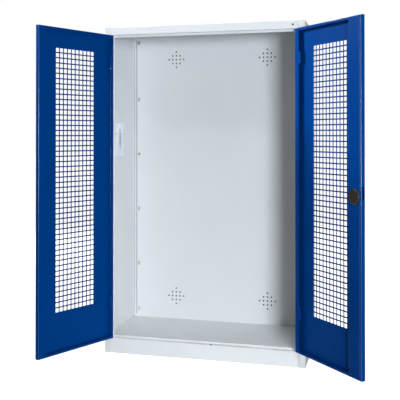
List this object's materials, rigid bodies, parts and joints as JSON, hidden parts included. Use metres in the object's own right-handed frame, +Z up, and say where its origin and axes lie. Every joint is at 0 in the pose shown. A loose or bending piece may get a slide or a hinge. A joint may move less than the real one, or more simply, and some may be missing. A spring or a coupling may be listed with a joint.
{
  "type": "sports equipment cabinet",
  "caption": "Tall sheet steel cabinet with perforated double doors standing open, a turn handle and a rod lock.",
  "frame": {"origin": "middle of the flange on which the plinth front stands, on the floor", "axes": "+Z up, +X to the right as seen from the front, the doors face -Y when closed"},
  "size_m": [1.7374, 1.0245, 1.95],
  "materials": {
    "carcass_grey": "light grey semi-gloss paint",
    "door_blue": "deep blue semi-gloss paint",
    "zinc_steel": "zinc plated",
    "black_plastic": "black, fine grain",
    "clear_film": "clear film",
    "paper": "printed paper"
  },
  "bodies": {
    "cabinet": {"side_panel_left": "carcass_grey", "side_panel_right": "carcass_grey", "back_panel": "carcass_grey", "top_panel": "carcass_grey", "floor_panel": "carcass_grey", "plinth_front": "carcass_grey", "plinth_rear": "carcass_grey", "hinge_left_upper_frame_leaf": "carcass_grey", "hinge_left_upper_pin": "zinc_steel", "hinge_left_lower_frame_leaf": "carcass_grey", "hinge_left_lower_pin": "zinc_steel", "hinge_right_upper_frame_leaf": "carcass_grey", "hinge_right_upper_pin": "zinc_steel", "hinge_right_lower_frame_leaf": "carcass_grey", "hinge_right_lower_pin": "zinc_steel", "document_pocket": "clear_film", "leaflet": "paper"},
    "left_door": {"door_leaf_left": "door_blue", "hinge_left_upper_door_leaf": "door_blue", "hinge_left_lower_door_leaf": "door_blue"},
    "right_door": {"door_leaf_right": "door_blue", "hinge_right_upper_door_leaf": "door_blue", "hinge_right_lower_door_leaf": "door_blue", "lock_channel": "door_blue", "lock_cover": "black_plastic", "handle_rosette": "black_plastic", "spindle_bush": "zinc_steel", "lock_case": "zinc_steel", "rod_guide_upper": "black_plastic", "rod_guide_lower": "black_plastic"},
    "lock_turn": {"turn_handle": "black_plastic", "spindle": "zinc_steel", "lock_tongue": "zinc_steel", "lock_pinion": "zinc_steel"},
    "key_barrel": {"lock_cylinder": "zinc_steel"},
    "rod_up": {"lock_rod_upper": "zinc_steel"},
    "rod_down": {"lock_rod_lower": "zinc_steel"}
  },
  "joints": [
    {"name": "left_door_hinge", "type": "hinge", "parent": "cabinet", "child": "left_door", "pos_m": [-0.564, -0.0125, 0.997], "axis": [0, 0, -1], "range_deg": [-114, 26]},
    {"name": "right_door_hinge", "type": "hinge", "parent": "cabinet", "child": "right_door", "pos_m": [0.564, -0.0125, 0.997], "axis": [0, 0, 1], "range_deg": [-132.5, 7.5]},
    {"name": "handle_turn", "type": "hinge", "parent": "right_door", "child": "lock_turn", "pos_m": [0.90923, -0.38925, 0.997], "axis": [0.7373, 0.6756, 0], "range_deg": [0, 90]},
    {"name": "upper_rod_slide", "type": "slide", "parent": "right_door", "child": "rod_up", "axis": [0, 0, 1], "range_m": [0, 0.0182]},
    {"name": "lower_rod_slide", "type": "slide", "parent": "right_door", "child": "rod_down", "axis": [0, 0, -1], "range_m": [0, 0.0182]},
    {"name": "key_turn", "type": "hinge", "parent": "lock_turn", "child": "key_barrel", "pos_m": [0.90923, -0.38925, 0.997], "axis": [0.7373, 0.6756, 0], "range_deg": [0, 90]}
  ],
  "couplings": [
    {"joint": "upper_rod_slide", "follows": "handle_turn", "m_per_rad": 0.011459},
    {"joint": "lower_rod_slide", "follows": "handle_turn", "m_per_rad": 0.011459}
  ]
}
